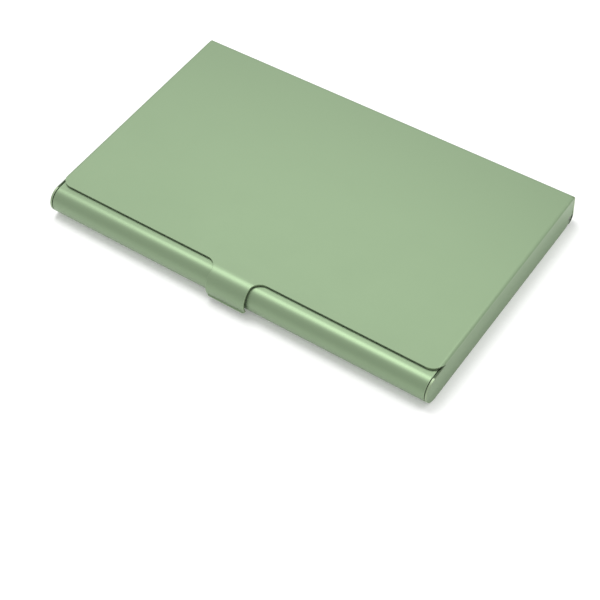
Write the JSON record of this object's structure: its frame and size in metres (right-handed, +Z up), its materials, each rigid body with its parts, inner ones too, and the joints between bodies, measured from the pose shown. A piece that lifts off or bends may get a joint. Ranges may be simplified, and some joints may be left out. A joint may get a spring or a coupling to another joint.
{
  "type": "business card case",
  "caption": "Slim sheet-metal business card case: base tray with a rolled front edge, hinged lid with side walls and a wrap-over latch tab.",
  "frame": {"origin": "under the middle of the closed case, on the surface it lies on", "axes": "+X along the length, +Y from the latch towards the hinge, +Z up through the lid"},
  "size_m": [0.095, 0.0588, 0.007],
  "materials": {
    "base_aluminium": "satin anodised, sage green",
    "lid_aluminium": "satin anodised, sage green",
    "pin_steel": "plain, lightly polished"
  },
  "bodies": {
    "base": {"base_shell": "base_aluminium", "hinge_pin_left": "pin_steel", "hinge_pin_right": "pin_steel"},
    "lid": {"lid_shell": "lid_aluminium"}
  },
  "joints": [
    {"name": "lid_hinge", "type": "hinge", "parent": "base", "child": "lid", "pos_m": [0, 0.02765, 0.0018], "axis": [-1, 0, 0], "range_deg": [0, 90]}
  ]
}
